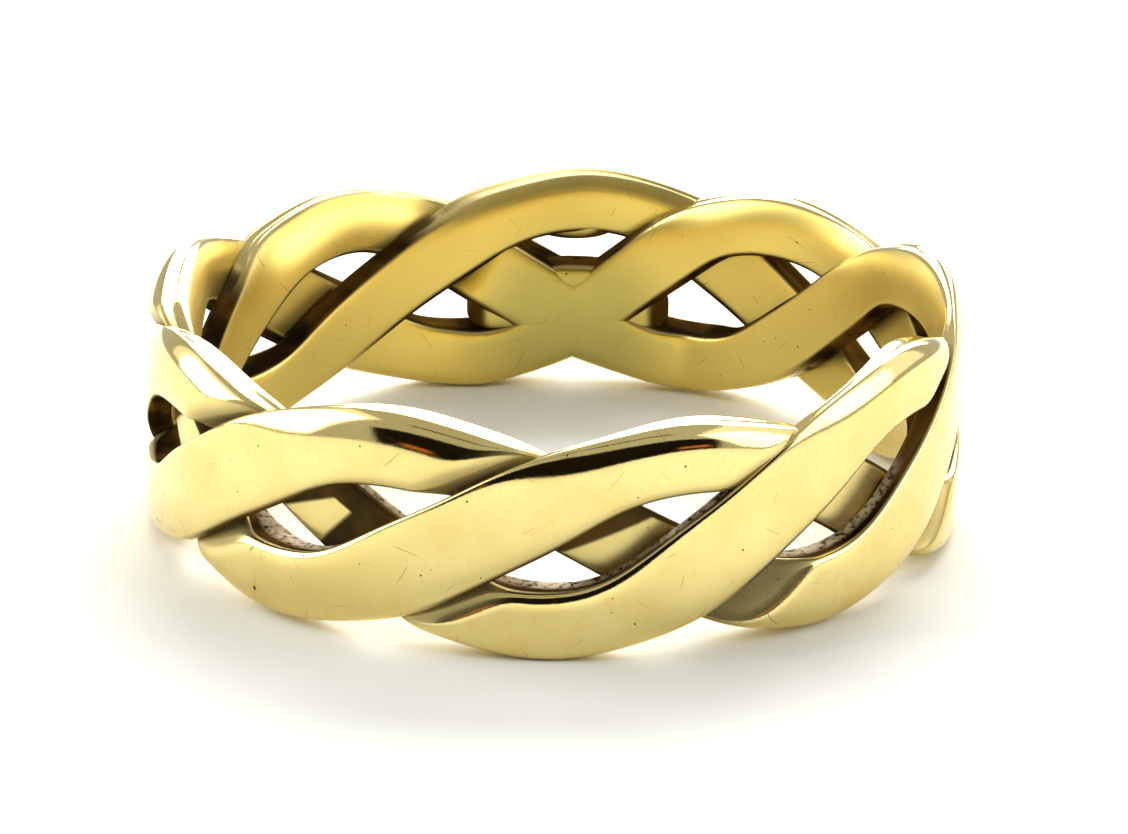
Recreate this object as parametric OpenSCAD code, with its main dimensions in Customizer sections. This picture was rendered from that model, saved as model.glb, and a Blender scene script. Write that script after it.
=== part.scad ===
// Plaited band ring, lying on its side.
// Three strands of gold run round the finger in three waves each, a third of a wave apart.
// Seen from outside, a strand rises to the right on the outer level and falls on the inner
// level, where it passes under the two rising stretches that follow it. Where strands cross,
// each is pressed to half of the wall, and it keeps more of its thickness where it bends.
// The finger's axis is +Z, the ring rests on Z = 0, and -Y is the side shown first.

/* [Ring] */
// Diameter over the outer faces
outer_d = 21; // [20:0.1:23]
// Diameter of the finger hole
finger_d = 18.2; // [17.6:0.1:18.6]
// Angle of the first crest from the front, towards +X
first_crest = -23; // [-40:1:40]

/* [Plait] */
// Half the height that the middle line of a strand swings through
swing = 2.08; // [2:0.02:2.3]
// Clearance between strands where they cross
crossing_gap = 0.07; // [0.05:0.01:0.12]
// Point of the wave, from the crest, where the outer face starts to sink to the inner level
outer_start = -4; // [-6:1:-2]
// Point of the wave where the outer face has reached it
outer_end = 30; // [26:1:32]
// Point of the wave where the inner face starts to sink
inner_start = -30; // [-32:1:-26]
// Point of the wave where the inner face has reached the finger
inner_end = 30; // [26:1:45]
// Lead of the lower edge over the upper one as the strand sinks
sink_lead = 10; // [6:1:12]

/* [Strand] */
// Width on the straight stretches, at the outer face
straight_w = 2.4; // [2.2:0.05:2.5]
// Width at the crests and bottoms, at the outer face
bend_w = 1.85; // [1.7:0.05:2]
// Share of its width that a section loses between the outer face and the finger
taper = 0.2; // [0.1:0.05:0.4]
// Squareness of the section, 2 for an ellipse
squareness = 4; // [3:0.5:5]

/* [Hidden] */

// Unevenness of the hand work, a row for each of the nine crests going round
// [crest moved on in degrees, crest raised in mm, bottom before it moved on in degrees, and raised]
CREST_ON = 0;
CREST_UP = 1;
BOTTOM_ON = 2;
BOTTOM_UP = 3;
hand_work = [
    [0, -0.2, 2.5, 0.05],
    [1.5, -0.2, 2, -0.1],
    [1, 0.3, 1.5, 0],
    [4, 0.4, -0.5, 0],
    [4.5, 0.1, -1, 0],
    [-1.5, 0.15, 0.5, 0],
    [1.5, 0, -2, -0.1],
    [0, 0.2, 4.5, 0.05],
    [-2.5, -0.1, 0.5, 0],
];

strands = 3;
waves = 3;
crests = strands * waves;
pitch = 360 / crests;
wave_turn = 360 / waves;
outer_r = outer_d / 2;
finger_r = finger_d / 2;
wall = outer_r - finger_r;
strand_t = (wall - crossing_gap) / 2;
middle_r = (outer_r + finger_r) / 2;
sink_depth = wall - strand_t;
stations = 40;
corners = 16;
sections = stations * waves;
gold = [0.86, 0.74, 0.45];

// Smooth step from 0 to 1 with level ends
function ease(x) =
    let (c = min(max(x, 0), 1))
    c * c * c * (10 - 15 * c + 6 * c * c);

// Share of the way that a face has sunk at a point of the wave, 0 at the crest, 180 at the bottom
function sunk(wave, start, end) =
    let (w = (wave + 450) % 360 - 90, span = end - start)
    ease((w - start) / span) * ease((180 - w - start) / span);

// Middle line of strand s after u waves, as [angle round the finger, height]
function middle(s, u) =
    let (
        after = floor(u + 0.5),
        before = floor(u),
        crest = hand_work[(s + strands * (after + waves)) % crests],
        bottom = hand_work[(s + strands * (before + waves) + 2) % crests],
        near_crest = pow(cos(180 * u), 2),
        angle = first_crest + pitch * s + wave_turn * u
            + crest[CREST_ON] * near_crest + bottom[BOTTOM_ON] * (1 - near_crest),
        height = swing * cos(360 * u) + crest[CREST_UP] * near_crest
            + bottom[BOTTOM_UP] * (1 - near_crest)
    )
    [angle, height];

// Unit direction of the middle line in the unrolled band
function heading(s, u) =
    let (
        step = 0.5 / stations,
        a = middle(s, u - step),
        b = middle(s, u + step),
        run = (b[0] - a[0]) * PI / 180 * middle_r,
        rise = b[1] - a[1]
    )
    [run, rise] / norm([run, rise]);

// Corner j of the section, as [across, outwards], each from -1 to 1
function corner(j) =
    let (a = 360 * j / corners, c = cos(a), s = sin(a), power = 2 / squareness)
    [sign(c) * pow(abs(c), power), sign(s) * pow(abs(s), power)];

// Half the width at the outer face, least at the crests and bottoms
function half_width(u) =
    let (straight = ease((pow(sin(360 * u), 2) - 0.1) / 0.6))
    (bend_w + (straight_w - bend_w) * straight) / 2;

// Point of strand s on section i at corner j
function strand_point(s, i, j) =
    let (
        u = i / stations,
        line = middle(s, u),
        dir = heading(s, u),
        c = corner(j),
        wave = 360 * u - sink_lead * c[0],
        outer_face = outer_r - sink_depth * sunk(wave, outer_start, outer_end),
        inner_face = outer_r - strand_t - sink_depth * sunk(wave, inner_start, inner_end),
        r = (outer_face + inner_face) / 2 + c[1] * (outer_face - inner_face) / 2,
        across = c[0] * half_width(u) * (1 - taper * (outer_r - r) / wall),
        angle = line[0] - across * dir[1] / middle_r * 180 / PI,
        z = line[1] + across * dir[0]
    )
    [r * sin(angle), -r * cos(angle), z];

function strand_points(s) =
    [for (i = [0 : sections - 1]) for (j = [0 : corners - 1]) strand_point(s, i, j)];

// Two triangles for each patch between a section and the next, the last one joined to the first
strand_faces = [
    for (i = [0 : sections - 1]) for (j = [0 : corners - 1])
        let (
            n = (i + 1) % sections,
            k = (j + 1) % corners,
            a = i * corners + j,
            b = i * corners + k,
            c = n * corners + k,
            d = n * corners + j
        )
        each [[a, c, b], [a, d, c]]
];

// Height that lifts the lowest point onto the table
rest_z = -min([for (s = [0 : strands - 1]) for (p = strand_points(s)) p[2]]);

// One strand, closed on itself
module strand(s) {
    color(gold)
        translate([0, 0, rest_z])
            polyhedron(points = strand_points(s), faces = strand_faces, convexity = 8);
}

module strand_a() {
    strand(0);
}

module strand_b() {
    strand(1);
}

module strand_c() {
    strand(2);
}

strand_a();
strand_b();
strand_c();
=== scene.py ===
"""Looks of a plaited gold band ring that lies on its side.

Three strands of gold run round the finger in three waves each, a third of a wave apart, and are soldered
where their ends meet at the back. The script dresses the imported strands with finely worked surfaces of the
same form, and adds the solder, a pale floor and the light. Lengths are in millimetres until a mesh is made.

A place on a strand is u, its waves past the strand's first crest. In a section of a strand, across runs from
-1 at the lower edge to 1 at the upper one, and outwards from -1 at the finger's side to 1 at the outer face.
"""

import math

import bpy
import numpy as np
from mathutils import Matrix, Vector


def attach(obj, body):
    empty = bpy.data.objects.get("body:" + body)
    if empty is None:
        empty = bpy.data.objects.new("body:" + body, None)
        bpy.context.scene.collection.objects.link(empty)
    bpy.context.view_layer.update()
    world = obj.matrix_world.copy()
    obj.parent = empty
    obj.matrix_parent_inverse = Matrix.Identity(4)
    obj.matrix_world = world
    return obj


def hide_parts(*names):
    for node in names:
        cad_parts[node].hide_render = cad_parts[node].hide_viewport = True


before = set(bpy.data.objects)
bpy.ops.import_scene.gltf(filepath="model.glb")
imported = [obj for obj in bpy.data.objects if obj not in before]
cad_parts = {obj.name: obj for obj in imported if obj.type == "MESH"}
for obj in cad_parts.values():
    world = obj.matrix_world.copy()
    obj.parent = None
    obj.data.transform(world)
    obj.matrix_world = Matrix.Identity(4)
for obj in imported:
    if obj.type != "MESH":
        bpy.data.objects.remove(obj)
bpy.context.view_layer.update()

MM = 0.001
TO_MM = (1000, 1000, 1000)

# The band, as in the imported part
OUTER_R = 10.5
FINGER_R = 9.1
WALL = OUTER_R - FINGER_R
MIDDLE_R = (OUTER_R + FINGER_R) / 2
STRANDS = 3
WAVES = 3
CRESTS = STRANDS * WAVES
PITCH = 360 / CRESTS
FIRST_CREST = -23
# A crest and the bottom after it differ by so much in their numbers, which go round from the left
BOTTOMS_ON = 2

# The plait: degrees of the wave, from the crest, where each face starts and ends its way to the inner level,
# and how far the lower edge is ahead of the upper one outside, and behind it inside
SWING = 2.08
CROSSING_GAP = 0.03
STRAND_T = (WALL - CROSSING_GAP) / 2
SINK_DEPTH = WALL - STRAND_T
OUTER_FACE_SINKS = (23, 58)
INNER_FACE_SINKS = (-70, 42)
OUTER_LEAD = 15
INNER_LEAD = 2
# Sections along a wave, corners of a section, and how wide a stretch counts as near a crest
STATIONS = 200
CORNERS = 80
CREST_REACH = 1.25

# The strand's section: its width, the squareness of its parts, 2 for an ellipse, and shares of the width
STRAIGHT_W = 2.4
BEND_W = 1.82
SWELL = 0.03
SWELLS_PER_WAVE = 6
CREST_SQUARENESS = 4.0
STRAIGHT_SQUARENESS = 9.0
LOWER_SQUARENESS = 5.0
INNER_SQUARENESS = 8.0
OUTER_TAPER = 0.1
INNER_W = 0.78
INNER_TOP_W = 0.88
WALL_HOLLOW = 0.06
HOLLOW_AT = -0.05
HOLLOW_REACH = 0.35

# How brown a face is painted as shade where it changes level, and where it lies under the strands that cross
# it
DIVE_SHADE_BROWN = 0.6
SHADE_BROWN = 0.96

# Fades, each as where it starts and how far it reaches. The bends are measured in the squared cosine of half
# the wave, their outer sides in the cosine of the wave, the front in the cosine of the angle round the
# finger, the sunk part in the share of the way down, and the others across or outwards.
BEND_PART = (0.5, 0.4)
BEND_OUTSIDE = (0.75, 0.6)
FRONT_PART = (0.4, 0.25)
SUNK_PART = (0.6, 0.4)
FACE_PART = (-0.5, 0.5)
CAST_EDGE = 0.88
# On the lower edge the brown starts further in and reaches round the rolled corner: cast wall, and painted
# shade under the strand above
CAST_AND_SHADE_EDGE_BELOW = 0.8
CAST_EDGE_FADE = 0.1
CAST_LIP = 0.8
CAST_AND_SHADE_LIP_BELOW = 0.97
CAST_LIP_FADE = 0.2
RIM_UP_TO = (0.2, 0.6)
RIM_EDGE = (0.88, 0.06)
TOP_BROWN_EDGE = (0.45, 0.3)
TOP_BROWN_UP_TO = (0.95, 0.3)
INSIDE_UP_TO = (-0.8, 0.15)
INSIDE_EDGE = (0.97, 0.1)
SOLDER_INSIDE = (0.7, 0.25)
SOLDER_EDGE = (0.93, 0.12)

# The seam at the back, where the ends meet and solder fills the crossing flush with the finger's side
SEAM_AT = 177
SEAM_HALF = 13
SEAM_FADE = 9
SEAM_STEP = 0.01
SEAM_HEIGHT = -0.9
SEAM_STRANDS = (0, 1)
SOLDER_REACH = 3.6
# Solder round the seam: angle, height over the middle, depth behind the finger's side, reach along, up
# and through the wall, squareness
SOLDER_PATCHES = [
    [178.0, -0.82, 0.05, 2.6, 0.62, 0.6, 5.0],
    [177.3, 1.55, 0.24, 1.1, 0.42, 0.45, 2.0],
    [176.3, 0.1, 0.03, 1.15, 0.5, 0.5, 3.0],
]

# Unevenness of the hand work, for the nine crests or bottoms going round: moved on in degrees, raised and
# widened in mm, rolled off in mm at the upper edge from a share of the half width on, squareness, degrees of
# the wave by which the outer face comes out late, and brown along the top. The first four rows are rounded
# results of a fit to the photo's outline and holes, changed a little.
CREST_ON = np.array([0, 1.5, 1, 4, 4.5, -1.5, 1.5, 0, -2.5])
CREST_UP = np.array([-0.14, -0.2, 0.3, 0.4, 0.1, 0.15, 0, 0.2, -0.1])
BOTTOM_ON = np.array([2.5, 2, 1.5, -0.5, -1, 0.5, -2, 4.5, 0.5])
BOTTOM_UP = np.array([0.05, -0.1, 0, 0, 0, 0, -0.1, 0.05, 0])
CREST_WIDER = np.array([0.12, 0, 0, 0, 0, 0, 0, 0, 0])
UPPER_ROLL = np.array([0.29, 0.23, 0.25, 0.3, 0.3, 0.3, 0.3, 0.3, 0.3])
UPPER_ROLL_FROM = np.array([-0.13, 0.17, 0.1, 0, 0, 0, 0, 0, 0])
INNER_ROLL = np.array([0.05, 0.1, 0.2, 0.3, 0.26, 0.16, 0.5, 0.3, 0.2])
INNER_ROLL_FROM = np.array([0, 0, 0, -0.2, 0, 0.3, -0.9, -0.2, 0])
BOTTOM_SQUARENESS = np.array([6, 5, 8, 9, 6, 6, 6, 6, 6])
OUT_AGAIN_LATE = np.array([12, 14, 0, 0, 0, 0, 0, 0, 0])
TOP_BROWN = np.array([0, 0, 0, 0, 0, 0.55, 0.15, 0, 0])

# Bright part of the falling face after each crest: degrees of the wave where it starts and ends at half the
# width, how much later it starts at the upper edge, and how far up the width it reaches. Its end slants by a
# share of that. Round it the face is painted brown as shade under the strands that cross it.
BRIGHT_FROM = np.array([90.5, 80, 85, 85, 85, 85, 85, 85, 84.6])
BRIGHT_TO = np.array([122, 131, 114, 114, 114, 114, 114, 114, 95.5])
BRIGHT_SLANT = np.array([12, 6, 9, 9, 9, 9, 9, 9, 12.4])
BRIGHT_UP_TO = np.array([0.9, 0.9, 0.9, 0.9, 0.9, 0.9, 0.9, 0.9, 0.42])
END_SLANT = 1 / 3
BRIGHT_END_FADE = 1
BRIGHT_TOP_FADE = 0.07

# Colours
FACE_GOLD = (0.81, 0.67, 0.28, 1)
DEEP_GOLD = (0.75, 0.60, 0.22, 1)
STAIN = (0.76, 0.50, 0.16, 1)
INSIDE_GOLD = (0.82, 0.64, 0.18, 1)
SOLDER_GOLD = (0.50, 0.43, 0.13, 1)
# Brown of the cast walls, also used for the painted shade on the faces
CAST_AND_SHADE_GOLD = (0.10, 0.05, 0.008, 1)
CAST_AND_SHADE_BROWN = (0.015, 0.008, 0.003, 1)
RIM_GREY = (0.75, 0.62, 0.42, 1)
PIT = (0.04, 0.025, 0.012, 1)
WHITE = (1, 1, 1, 1)
PAPER_WHITE = (0.93, 0.93, 0.87)
CARD_BLACK = (0.01, 0.008, 0.006)
HAND_RED = (0.50, 0.16, 0.05)

# Strength of the stains and marks in the colour, roughness of each finish, and relief in mm
STAIN_SHARE = 0.4
SPECKLE_SHARE = 0.3
HAIR_SHARE = 0.45
PIT_SHARE = 0.9
POLISHED_ROUGHNESS = 0.05
CLOUDS_ROUGHER = 0.05
INSIDE_ROUGHER = 0.28
CAST_ROUGHER = 0.34
FALLING_ROUGHER = 0.3
MARKS_ROUGHER = 0.4
FINE_RELIEF = 0.001
RIM_RELIEF = 0.05

# Each piece's pattern is moved on by so many mm, so that no two pieces have the same
STRAND_PATTERN_STEP = 40
SOLDER_PATTERN_FROM = 150
SOLDER_PATTERN_STEP = 10

# Camera: the ring's middle is at this pixel of a picture of this size
VIEW_DISTANCE = 115.25
VIEW_ELEVATION = math.radians(19.99)
VIEW_ROLL = math.radians(0.66)
PHOTO_W = 1128
PHOTO_H = 834
PIXELS_PER_MM = 38.758
RING_U = 553.8
RING_V = 394.4
SENSOR_W = 36
CLIP_NEAR = 0.001
CLIP_FAR = 20

# Stage: lights and cards stand at an angle round from the front, a height angle and a distance, seen from
# the ring, then a light has its size and power in watts, and a card its width and height
ROOM_BRIGHTNESS = 0.57
GLOW = 1.3
FLOOR_SIDE = 4000
WINDOWS = {
    "window": (170, 33, 300, 240, 1.5),
    "left_window": (-95, 25, 300, 240, 0.68),
    "right_window": (76, 25, 300, 220, 0.34),
}
BLACK_CARDS = {
    "dark_front": (0, 19, 400, 900, 290),
    "dark_edge": (0, 62, 400, 300, 24),
}
HAND_CARDS = {
    "left_hand": (-32, 6, 380, 70, 36),
    "right_hand": (38, 8, 380, 80, 40),
}
REFLECTORS = {
    "left_reflector": (-100, 32, 420, 460, 380),
    "right_reflector": (100, 32, 420, 460, 380),
}


def ease(x):
    """Rises from 0 to 1 with level ends: the cube of x times 10, less 15 x, plus 6 x squared."""
    x = np.clip(x, 0, 1)
    return x**3 * (10 - 15 * x + 6 * x * x)


def past(x, start, fade):
    """0 up to the start and 1 from a fade beyond it, with level ends."""
    return ease((x - start) / fade)


def short_of(x, end, fade):
    """1 up to a fade before the end and 0 from the end on, with level ends."""
    return ease((end - x) / fade)


def crest_before(strand, u):
    """Number of the crest that the strand passed last."""
    return (strand + STRANDS * np.floor(u).astype(int)) % CRESTS


def crest_nearest(strand, u):
    """Number of the strand's nearest crest."""
    return crest_before(strand, u + 0.5)


def bottom_between(strand, u):
    """Number of the bottom between the crests before and after."""
    return (crest_before(strand, u) + BOTTOMS_ON) % CRESTS


def near_crest(u):
    """1 for a short stretch round each crest: the eighth power of the cosine of half the wave, eased."""
    return ease(CREST_REACH * np.cos(np.pi * u) ** 8)


def sunk(wave, start, end, late=0):
    """Share of the way to the inner level, for the degrees of the wave past the crest.

    It eases in from start to end, and out again as far before the bottom as that is after the crest, or
    so many degrees later.
    """
    w = np.mod(wave + 90, 360) - 90
    span = end - start
    return ease((w - start) / span) * ease((180 + late - w - start) / span)


def middle(strand, u):
    """Angle round the finger in degrees and height of a strand's middle line.

    The height is a cosine of the wave and the angle grows evenly, each with the crest's or the bottom's
    own error, shared out by the cosine of half the wave squared.
    """
    crest = crest_nearest(strand, u)
    bottom = bottom_between(strand, u)
    crest_share = np.cos(np.pi * u) ** 2
    angle = FIRST_CREST + PITCH * strand + 360 / WAVES * u
    angle = angle + CREST_ON[crest] * crest_share + BOTTOM_ON[bottom] * (1 - crest_share)
    height = SWING * np.cos(2 * np.pi * u) + CREST_UP[crest] * crest_share
    height = height + BOTTOM_UP[bottom] * (1 - crest_share)
    return angle, height


def heading(strand, u):
    """Unit direction of the middle line in the unrolled band, from the points just before and after."""
    step = 0.25 / STATIONS
    angle_a, height_a = middle(strand, u - step)
    angle_b, height_b = middle(strand, u + step)
    run = np.radians(angle_b - angle_a) * MIDDLE_R
    rise = height_b - height_a
    length = np.hypot(run, rise)
    return run / length, rise / length


def upper_squareness(strand, u):
    """Squareness of the section's upper half: the crest's or the bottom's own, and more on the straight."""
    at_crest = past(np.cos(np.pi * u) ** 2, *BEND_PART)
    at_bottom = past(np.sin(np.pi * u) ** 2, *BEND_PART)
    bottom = BOTTOM_SQUARENESS[bottom_between(strand, u)]
    upper = STRAIGHT_SQUARENESS + (CREST_SQUARENESS - STRAIGHT_SQUARENESS) * at_crest
    return upper + (bottom - STRAIGHT_SQUARENESS) * at_bottom


def section(corners, upper):
    """Outlines of the strand's sections, as across and outwards, one row a station.

    Each is a superellipse, with the station's own squareness above, and squarest on the finger's side. Its
    points lie on rays to the sides of a square, set by a sine so that they are close together at the
    square's corners.
    """
    side, step = np.divmod(np.arange(corners)[None, :], corners // 4)
    along = np.sin(np.pi / 2 * (8 * step / corners - 1))
    one = np.ones_like(along)
    c = np.choose(side, [one, -along, -one, along])
    s = np.choose(side, [along, one, -along, -one])
    squareness = np.where(c > 0, upper, LOWER_SQUARENESS)
    squareness = np.where(s < 0, INNER_SQUARENESS, squareness)
    reach = (np.abs(c) ** squareness + np.abs(s) ** squareness) ** (-1 / squareness)
    return c * reach, s * reach


def rolled(across, start):
    """How far a face has rolled off at its upper edge: the square of the way from the start to the edge."""
    return np.clip((across - start) / (1 - start), 0, 1) ** 2


def outer_face(strand, u, across, outer_sunk):
    """Radius of the outer face: let down as far as it has sunk, and rolled off at the top of the crests."""
    crest = crest_nearest(strand, u)
    face = OUTER_R - SINK_DEPTH * outer_sunk
    return face - near_crest(u) * UPPER_ROLL[crest] * rolled(across, UPPER_ROLL_FROM[crest])


def inner_face(strand, u, across, angle, inner_sunk):
    """Radius of the inner face, let down and rolled off likewise, and filled to the finger at the seam."""
    crest = crest_nearest(strand, u)
    face = FINGER_R + SINK_DEPTH * (1 - inner_sunk)
    off_seam = np.abs(np.mod(angle, 360) - SEAM_AT)
    filled = short_of(off_seam, SEAM_HALF + SEAM_FADE, SEAM_FADE) * (strand in SEAM_STRANDS)
    face = face - (face - FINGER_R - SEAM_STEP) * filled
    return face + near_crest(u) * INNER_ROLL[crest] * rolled(across, INNER_ROLL_FROM[crest])


def half_width(strand, u):
    """Half the width: from the bends' to the straight stretches' by the wave's squared sine.

    Single crests are wider, and a cosine adds a slight swell.
    """
    straight = np.sin(2 * np.pi * u) ** 2
    wider = CREST_WIDER[crest_nearest(strand, u)] * near_crest(u)
    half_w = (BEND_W + (STRAIGHT_W - BEND_W) * straight + wider) / 2
    return half_w + SWELL * np.cos(2 * np.pi * SWELLS_PER_WAVE * u)


def width_share(outwards, level):
    """Share of the width that is left at a depth, for a level from 0, the outer one, to 1, the inner one.

    On each level it falls evenly from the outer face to the finger's side. A bell curve hollows the walls.
    """
    inwards = (1 - outwards) / 2
    on_outer = 1 - OUTER_TAPER * inwards
    on_inner = INNER_W * inwards + INNER_TOP_W * (1 - inwards)
    hollow = 1 - WALL_HOLLOW * np.exp(-(((outwards - HOLLOW_AT) / HOLLOW_REACH) ** 2))
    return hollow * (on_outer * (1 - level) + on_inner * level)


def strand_finish_and_shade(strand, u, across, outwards, angle, outer_sunk):
    """How far each point is brown as cast and as painted shade, on the grey rim and inside, each from 0 to
    1.

    The side walls are as cast except on the outer sides of the bends, and their lower edges carry painted
    shade under the strands above as well. A face that changes level is painted brown as shade, most of all
    halfway, and the top of single crests is browned. The rim is the inner part of the upper walls at the
    front.
    """
    below = across < 0
    # Lower edges browned further in: cast wall, and painted shade on the rolled corner under the strand
    # above
    on_edge = past(np.abs(across), np.where(below, CAST_AND_SHADE_EDGE_BELOW, CAST_EDGE), CAST_EDGE_FADE)
    under_lip = short_of(outwards, np.where(below, CAST_AND_SHADE_LIP_BELOW, CAST_LIP), CAST_LIP_FADE)
    outside_bend = np.cos(2 * np.pi * u) * np.sign(across)
    cast_wall_and_shaded_lip = on_edge * under_lip * short_of(outside_bend, *BEND_OUTSIDE)
    in_front = past(np.cos(np.radians(angle)), *FRONT_PART)
    rim = short_of(outwards, *RIM_UP_TO) * past(across, *RIM_EDGE) * cast_wall_and_shaded_lip * in_front
    # Painted shade: the outer face is browned halfway down its change of level, where it dives under a
    # crossing strand
    diving_shade = DIVE_SHADE_BROWN * 4 * outer_sunk * (1 - outer_sunk) * past(outwards, *FACE_PART)
    top = TOP_BROWN[crest_nearest(strand, u)] * near_crest(u)
    top = top * past(across, *TOP_BROWN_EDGE) * short_of(outwards, *TOP_BROWN_UP_TO)
    cast_and_shade_share = np.maximum(np.maximum(cast_wall_and_shaded_lip, diving_shade), top)
    inside = short_of(outwards, *INSIDE_UP_TO) * short_of(np.abs(across), *INSIDE_EDGE)
    return np.stack(np.broadcast_arrays(cast_and_shade_share, rim, inside), axis=-1)


def strand_painted_shade(strand, u, across, outwards, outer_sunk):
    """How brown a falling face is painted as shade, and how far each point lies within its bright part.

    The way into it is in degrees of the wave from the nearer end, and in half widths from its top.
    """
    crest = crest_before(strand, u)
    wave = np.mod(360 * u, 360)
    slant = BRIGHT_SLANT[crest] * across
    painted_shade_share = SHADE_BROWN * past(outer_sunk, *SUNK_PART) * past(outwards, *FACE_PART)
    past_start = wave - BRIGHT_FROM[crest] - slant
    before_end = BRIGHT_TO[crest] + slant * END_SLANT - wave
    below_top = BRIGHT_UP_TO[crest] - across
    return np.stack(np.broadcast_arrays(painted_shade_share, np.minimum(past_start, before_end), below_top), axis=-1)


def strand_grid(strand):
    """Points of a strand, one row a station, with the finish and the painted shade of each.

    The section is carried along the middle line, square to it, and lies between the radii of its two faces.
    The way across turns a point round the finger and lifts it, as the heading says.
    """
    u = np.arange(STATIONS * WAVES)[:, None] / STATIONS
    across, outwards = section(CORNERS, upper_squareness(strand, u))
    angle, height = middle(strand, u)
    run, rise = heading(strand, u)
    late = OUT_AGAIN_LATE[crest_before(strand, u)]
    outer_sunk = sunk(360 * u - OUTER_LEAD * across, *OUTER_FACE_SINKS, late)
    inner_sunk = sunk(360 * u + INNER_LEAD * across, *INNER_FACE_SINKS)
    outer = outer_face(strand, u, across, outer_sunk)
    inner = inner_face(strand, u, across, angle, inner_sunk)
    r = (outer + inner) / 2 + outwards * (outer - inner) / 2
    side = across * half_width(strand, u) * width_share(outwards, (outer_sunk + inner_sunk) / 2)
    turn = np.radians(angle) - side * rise / MIDDLE_R
    points = np.stack([r * np.sin(turn), -r * np.cos(turn), height + side * run], axis=-1)
    finish_and_shade = strand_finish_and_shade(strand, u, across, outwards, angle, outer_sunk)
    painted_shade = strand_painted_shade(strand, u, across, outwards, outer_sunk)
    return points, finish_and_shade, painted_shade


def rounded(wave, squareness):
    """A sine or cosine raised to 2 over the squareness, its sign kept, which squares a circle off."""
    return np.sign(wave) * np.abs(wave) ** (2 / squareness)


def solder_grid(angle, height, depth, along, up, through, squareness, rings=60):
    """Points of a pillow of solder behind the finger's side, with finish as on a strand and no painted
    shade.

    It is a ball with squared corners, stretched to its reach along the ring, up the ring and through the
    wall, at its own angle round the finger and height over the ring's middle. Its poles point up and down.
    """
    a = np.pi * (np.arange(rings)[:, None] + 0.5) / rings
    b = 2 * np.pi * np.arange(2 * rings)[None, :] / (2 * rings)
    from_pole = rounded(np.sin(a), squareness)
    sideways = rounded(np.cos(b), squareness)
    inwards = from_pole * rounded(np.sin(b), squareness)
    turn = np.radians(angle) + along * from_pole * sideways / FINGER_R
    r = FINGER_R + depth + through * (1 - inwards)
    z = height + up * rounded(np.cos(a), squareness)
    points = np.stack(np.broadcast_arrays(r * np.sin(turn), -r * np.cos(turn), z), axis=-1)
    inside = past(inwards, *SOLDER_INSIDE) * short_of(np.abs(sideways), *SOLDER_EDGE)
    return points, np.stack([1 - inside, 0 * inside, inside], axis=-1), 0 * points


def closed_mesh(name, points, finish_and_shade, painted_shade, looped):
    """Smooth mesh object of a grid of points, faces outward, closed along its columns.

    Where it is looped its last row meets the first, and otherwise its first and last rows are capped.
    """
    rows, columns = points.shape[:2]
    index = np.arange(rows * columns).reshape(rows, columns)
    ahead = np.roll(index, -1, axis=0)
    quads = np.stack([index, ahead, np.roll(ahead, -1, axis=1), np.roll(index, -1, axis=1)], axis=-1)
    faces = (quads if looped else quads[:-1]).reshape(-1, 4).tolist()
    if not looped:
        faces += [index[0, ::-1].tolist(), index[-1].tolist()]
    mesh = bpy.data.meshes.new(name)
    mesh.from_pydata((points.reshape(-1, 3) * MM).tolist(), [], faces)
    mesh.polygons.foreach_set("use_smooth", np.ones(len(mesh.polygons), bool))
    for title, values in (("finish_and_shade", finish_and_shade), ("painted_shade", painted_shade)):
        made = mesh.attributes.new(title, "FLOAT_VECTOR", "POINT")
        made.data.foreach_set("vector", values.astype(np.float32).ravel())
    piece = bpy.data.objects.new(name, mesh)
    bpy.context.scene.collection.objects.link(piece)
    return piece


class Nodes:
    """Shader nodes of one material, each made and wired in one call."""

    def __init__(self, name):
        self.material = bpy.data.materials.new(name)
        self.material.use_nodes = True
        self.tree = self.material.node_tree
        self.shader = self.tree.nodes["Principled BSDF"]

    def put(self, socket, value):
        """Wires a socket or sets its number or colour."""
        if isinstance(value, bpy.types.NodeSocket):
            self.tree.links.new(value, socket)
        else:
            socket.default_value = value

    def add(self, kind, inputs=None, **settings):
        """Adds a node of a kind, with settings and with inputs by name or number."""
        made = self.tree.nodes.new("ShaderNode" + kind)
        for key, value in settings.items():
            setattr(made, key, value)
        for key, value in (inputs or {}).items():
            self.put(made.inputs[key], value)
        return made

    def kept(self, title):
        """The three numbers that the mesh keeps under a title at each point."""
        vector = self.add("Attribute", attribute_name=title).outputs["Vector"]
        return self.add("SeparateXYZ", {0: vector}).outputs

    def maths(self, operation, *values):
        """One step of arithmetic on numbers."""
        return self.add("Math", dict(enumerate(values)), operation=operation).outputs[0]

    def vectors(self, operation, *values):
        """One step of arithmetic on vectors, giving a vector."""
        return self.add("VectorMath", dict(enumerate(values)), operation=operation).outputs[0]

    def reach(self, operation, *values):
        """One step of arithmetic on vectors, giving a number."""
        return self.add("VectorMath", dict(enumerate(values)), operation=operation).outputs["Value"]

    def step(self, value, low, high):
        """0 below low, 1 above high, smooth between; low may be the larger of the two."""
        inputs = {"Value": value, "From Min": low, "From Max": high}
        return self.add("MapRange", inputs, interpolation_type="SMOOTHSTEP").outputs[0]

    def noise(self, vector, per_mm, detail=2.0):
        """Cloudy pattern with so many lumps to the millimetre."""
        inputs = {"Vector": vector, "Scale": per_mm, "Detail": detail}
        return self.add("TexNoise", inputs).outputs["Fac"]

    def mix(self, share, first, second):
        """Colour between two, by share."""
        inputs = {0: share, 6: first, 7: second}
        return self.add("Mix", inputs, data_type="RGBA").outputs[2]


def scattered(nodes, place, per_mm):
    """Random cells: the way from the cell's middle to the point, and three random numbers of the cell."""
    scaled = nodes.vectors("MULTIPLY", place, (per_mm, per_mm, per_mm))
    cells = nodes.add("TexVoronoi", {"Vector": scaled, "Scale": 1.0})
    away = nodes.vectors("SUBTRACT", scaled, cells.outputs["Position"])
    return away, cells.outputs["Color"]


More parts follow.
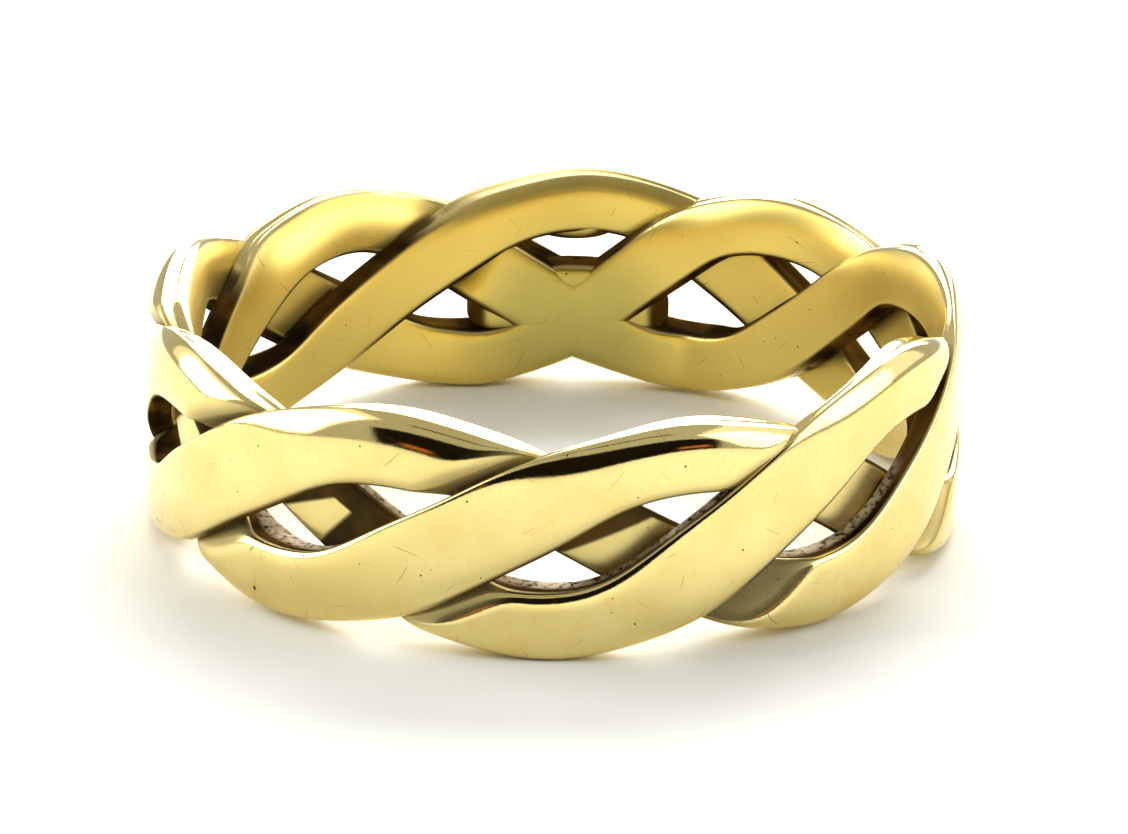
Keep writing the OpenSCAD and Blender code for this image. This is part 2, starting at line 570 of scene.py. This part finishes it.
def scratches(nodes, place, per_mm, half_width, half_length, share):
    """Hair lines in a share of the cells: where a random plane through the cell's middle cuts the face."""
    away, chance = scattered(nodes, place, per_mm)
    across = nodes.vectors("NORMALIZE", nodes.vectors("SUBTRACT", chance, (0.5, 0.5, 0.5)))
    off_line = nodes.maths("ABSOLUTE", nodes.reach("DOT_PRODUCT", away, across))
    off_middle = nodes.reach("LENGTH", away)
    line = nodes.step(off_line, half_width * per_mm, half_width * per_mm * 0.4)
    end = nodes.step(off_middle, half_length * per_mm, half_length * per_mm * 0.6)
    red = nodes.add("SeparateColor", {0: chance}).outputs[0]
    chosen = nodes.maths("LESS_THAN", red, share)
    return nodes.maths("MULTIPLY", nodes.maths("MULTIPLY", line, end), chosen)


def pits(nodes, place, per_mm, radius, share):
    """Small round pits of uneven size, in a share of the cells."""
    away, chance = scattered(nodes, place, per_mm)
    parts = nodes.add("SeparateColor", {0: chance})
    size = nodes.maths("MULTIPLY", parts.outputs[1], radius * per_mm)
    inside = nodes.maths("LESS_THAN", nodes.reach("LENGTH", away), size)
    return nodes.maths("MULTIPLY", inside, nodes.maths("LESS_THAN", parts.outputs[0], share))


def worn_marks(nodes, place):
    """Strength of the scratches and pits, long and short, large and small."""
    long_hair = scratches(nodes, place, per_mm=0.8, half_width=0.010, half_length=0.38, share=0.5)
    short_hair = scratches(nodes, place, per_mm=1.5, half_width=0.007, half_length=0.22, share=0.5)
    large_pit = pits(nodes, place, per_mm=0.8, radius=0.06, share=0.3)
    small_pit = pits(nodes, place, per_mm=3.5, radius=0.03, share=0.25)
    hair = nodes.maths("MULTIPLY", nodes.maths("MAXIMUM", long_hair, short_hair), HAIR_SHARE)
    pit = nodes.maths("MULTIPLY", nodes.maths("MAXIMUM", large_pit, small_pit), PIT_SHARE)
    return nodes.maths("MAXIMUM", hair, pit)


def stained_gold(nodes, place, cloud, grit):
    """Colour of the polished faces: two golds in clouds, with stains and speckles."""
    colour = nodes.mix(nodes.step(cloud, 0.35, 0.7), FACE_GOLD, DEEP_GOLD)
    stain = nodes.step(nodes.noise(place, per_mm=1.3), 0.58, 0.78)
    colour = nodes.mix(nodes.maths("MULTIPLY", stain, STAIN_SHARE), colour, STAIN)
    speckle = nodes.step(grit, 0.5, 0.75)
    return nodes.mix(nodes.maths("MULTIPLY", speckle, SPECKLE_SHARE), colour, STAIN)


def inside_gold(nodes, seen):
    """Colour of the finger's side, which is duller within the solder's reach of the seam."""
    here = nodes.vectors("MULTIPLY", seen, TO_MM)
    from_seam = nodes.reach("LENGTH", nodes.vectors("SUBTRACT", here, SEAM_POINT))
    duller = nodes.step(from_seam, SOLDER_REACH, SOLDER_REACH / 3)
    return nodes.mix(duller, INSIDE_GOLD, SOLDER_GOLD)


def cast_and_shade_brown(nodes, place, rim, grit):
    """Colour of the walls as cast and of the painted shade: brown in clouds, with grey grit on the rim."""
    cloud = nodes.step(nodes.noise(place, per_mm=0.7), 0.35, 0.65)
    gritty = nodes.maths("MULTIPLY", rim, nodes.step(grit, 0.3, 0.55))
    return nodes.mix(gritty, nodes.mix(cloud, CAST_AND_SHADE_GOLD, CAST_AND_SHADE_BROWN), RIM_GREY)


def worn_gold(name, pattern_at):
    """Polished gold with scratches, pits and stains, duller inside, brown as cast on the walls, and painted
    brown as shade where strands cross it.

    The pattern is worked out in millimetres from the frame's origin, moved along X by its own distance.
    """
    nodes = Nodes(name)
    seen = nodes.add("TexCoord").outputs["Object"]
    moved = {"Vector": seen, "Location": (pattern_at, 0, 0), "Scale": TO_MM}
    place = nodes.add("Mapping", moved).outputs[0]
    cast_and_shade, rim, inside = nodes.kept("finish_and_shade")
    painted_shade_share, from_end, from_top = nodes.kept("painted_shade")
    # Painted shade: a falling face is browned round its bright part, under the strands that cross it
    bright_along = nodes.step(from_end, -BRIGHT_END_FADE, BRIGHT_END_FADE)
    bright = nodes.maths("MULTIPLY", bright_along, nodes.step(from_top, 0, BRIGHT_TOP_FADE))
    shade = nodes.maths("MULTIPLY", painted_shade_share, nodes.maths("SUBTRACT", 1.0, bright))
    cast_and_shade = nodes.maths("MAXIMUM", cast_and_shade, shade)
    cloud = nodes.noise(place, per_mm=0.5, detail=3)
    grit = nodes.noise(place, per_mm=7, detail=3)
    fine = nodes.noise(place, per_mm=28)
    patchy = nodes.step(nodes.noise(place, per_mm=0.9), 0.42, 0.58)
    rim = nodes.maths("MULTIPLY", rim, nodes.maths("MULTIPLY_ADD", patchy, 0.5, 0.5))
    mark = worn_marks(nodes, place)

    colour = nodes.mix(inside, stained_gold(nodes, place, cloud, grit), inside_gold(nodes, seen))
    colour = nodes.mix(cast_and_shade, colour, cast_and_shade_brown(nodes, place, rim, grit))
    colour = nodes.mix(mark, colour, PIT)
    nodes.put(nodes.shader.inputs["Base Color"], colour)

    rough = nodes.maths("MULTIPLY_ADD", cloud, CLOUDS_ROUGHER, POLISHED_ROUGHNESS)
    rough = nodes.maths("MULTIPLY_ADD", inside, INSIDE_ROUGHER, rough)
    rough = nodes.maths("MULTIPLY_ADD", cast_and_shade, CAST_ROUGHER, rough)
    rough = nodes.maths("MULTIPLY_ADD", painted_shade_share, FALLING_ROUGHER, rough)
    rough = nodes.maths("MULTIPLY_ADD", mark, MARKS_ROUGHER, rough)
    nodes.put(nodes.shader.inputs["Roughness"], rough)
    nodes.put(nodes.shader.inputs["Metallic"], nodes.maths("SUBTRACT", 1.0, cast_and_shade))
    nodes.shader.inputs["Specular IOR Level"].default_value = 0.0

    relief = nodes.maths("MULTIPLY", fine, FINE_RELIEF)
    relief = nodes.maths("MULTIPLY_ADD", nodes.maths("MULTIPLY", grit, rim), RIM_RELIEF, relief)
    bump = nodes.add("Bump", {"Height": relief, "Distance": MM, "Strength": 1.0})
    nodes.put(nodes.shader.inputs["Normal"], bump.outputs[0])
    return nodes.material


def gold_piece(name, grid, material, looped):
    """Piece of the ring from a grid with heights over the ring's middle, raised so that the ring rests."""
    points, finish_and_shade, painted_shade = grid
    piece = closed_mesh(name, points + (0, 0, REST_Z), finish_and_shade, painted_shade, looped)
    piece.data.materials.append(material)
    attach(piece, "root")
    return piece


def photo_camera():
    """Camera that sees the ring's middle at the photo's pixel, from its distance, height and roll."""
    forward = Vector((0, math.cos(VIEW_ELEVATION), -math.sin(VIEW_ELEVATION)))
    level_right = Vector((1, 0, 0))
    level_up = level_right.cross(forward)
    right = math.cos(VIEW_ROLL) * level_right + math.sin(VIEW_ROLL) * level_up
    up = math.cos(VIEW_ROLL) * level_up - math.sin(VIEW_ROLL) * level_right
    place = Vector((0, 0, REST_Z)) - forward * VIEW_DISTANCE
    place -= right * (RING_U - PHOTO_W / 2) / PIXELS_PER_MM
    place += up * (RING_V - PHOTO_H / 2) / PIXELS_PER_MM
    lens = bpy.data.cameras.new("camera")
    lens.sensor_width = SENSOR_W
    lens.lens = PIXELS_PER_MM * VIEW_DISTANCE * SENSOR_W / PHOTO_W
    lens.clip_start = CLIP_NEAR
    lens.clip_end = CLIP_FAR
    camera = bpy.data.objects.new("camera", lens)
    turn = Matrix((right, up, -forward)).transposed().to_4x4()
    camera.matrix_world = Matrix.Translation(place * MM) @ turn
    bpy.context.scene.collection.objects.link(camera)
    bpy.context.scene.camera = camera


def matte(name, colour):
    """Matte material of one colour, for the stage."""
    material = bpy.data.materials.new(name)
    material.use_nodes = True
    shader = material.node_tree.nodes["Principled BSDF"]
    shader.inputs["Base Color"].default_value = (*colour, 1)
    shader.inputs["Roughness"].default_value = 1.0
    shader.inputs["Specular IOR Level"].default_value = 0
    return material


def glowing(name, strength):
    """Material that shines evenly in white."""
    material = matte(name, (0, 0, 0))
    shader = material.node_tree.nodes["Principled BSDF"]
    shader.inputs["Emission Color"].default_value = WHITE
    shader.inputs["Emission Strength"].default_value = strength
    return material


def sheet(name, width, height, material):
    """Flat rectangle for the stage, level and round the frame's origin."""
    w, h = width / 2 * MM, height / 2 * MM
    mesh = bpy.data.meshes.new(name)
    mesh.from_pydata([(-w, -h, 0), (w, -h, 0), (w, h, 0), (-w, h, 0)], [], [(0, 1, 2, 3)])
    mesh.materials.append(material)
    piece = bpy.data.objects.new(name, mesh)
    bpy.context.scene.collection.objects.link(piece)
    return piece


def from_ring(azimuth, elevation, distance):
    """Way from the ring, in metres, at an angle round from the front and a height angle, in degrees."""
    a, e = math.radians(azimuth), math.radians(elevation)
    flat = distance * math.cos(e)
    return Vector((flat * math.sin(a), -flat * math.cos(a), distance * math.sin(e))) * MM


def placed(way, facing):
    """Matrix that puts a thing at the end of a way from the ring's middle, with its Z axis along facing."""
    ring_middle = Vector((0, 0, REST_Z * MM))
    return Matrix.Translation(ring_middle + way) @ facing.to_track_quat("Z", "Y").to_matrix().to_4x4()


def card(name, azimuth, elevation, distance, width, height, material):
    """Card with its face turned to the ring; it shows only in reflections and bounced light."""
    piece = sheet(name, width, height, material)
    way = from_ring(azimuth, elevation, distance)
    piece.matrix_world = placed(way, -way)
    piece.visible_camera = False
    return piece


def area_light(name, azimuth, elevation, distance, size, power):
    """Square soft light that faces the ring."""
    data = bpy.data.lights.new(name, "AREA")
    data.size = size * MM
    data.energy = power
    light = bpy.data.objects.new(name, data)
    way = from_ring(azimuth, elevation, distance)
    light.matrix_world = placed(way, way)
    bpy.context.scene.collection.objects.link(light)


def white_room():
    """Even white surroundings."""
    world = bpy.data.worlds.new("white_room")
    world.use_nodes = True
    background = world.node_tree.nodes["Background"]
    background.inputs["Color"].default_value = WHITE
    background.inputs["Strength"].default_value = ROOM_BRIGHTNESS
    bpy.context.scene.world = world


grids = [strand_grid(s) for s in range(STRANDS)]
REST_Z = -min(points[..., 2].min() for points, _, _ in grids)
SEAM_ANGLE = math.radians(SEAM_AT)
SEAM_POINT = (FINGER_R * math.sin(SEAM_ANGLE), -FINGER_R * math.cos(SEAM_ANGLE), REST_Z + SEAM_HEIGHT)

for s, letter in enumerate("abc"):
    gold = worn_gold("worn_gold_" + letter, STRAND_PATTERN_STEP * s)
    strand_piece = gold_piece("gold_strand_" + letter, grids[s], gold, looped=True)
    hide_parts("strand_" + letter)

for i, patch in enumerate(SOLDER_PATCHES):
    gold = worn_gold("solder_gold_%d" % (i + 1), SOLDER_PATTERN_FROM + SOLDER_PATTERN_STEP * i)
    gold_piece("solder_%d" % (i + 1), solder_grid(*patch), gold, looped=False)

bpy.context.scene.view_settings.view_transform = "Standard"
photo_camera()
sheet("floor", FLOOR_SIDE, FLOOR_SIDE, matte("white_paper", PAPER_WHITE))
white_room()
for name, window in WINDOWS.items():
    area_light(name, *window)
for cards, material in (
    (BLACK_CARDS, matte("black_card", CARD_BLACK)),
    (HAND_CARDS, matte("hand_card", HAND_RED)),
    (REFLECTORS, glowing("white_glow", GLOW)),
):
    for name, shape in cards.items():
        piece = card(name, *shape, material)
        # The reflectors are only mirrored in the gold, and light nothing else
        piece.visible_diffuse = cards is not REFLECTORS
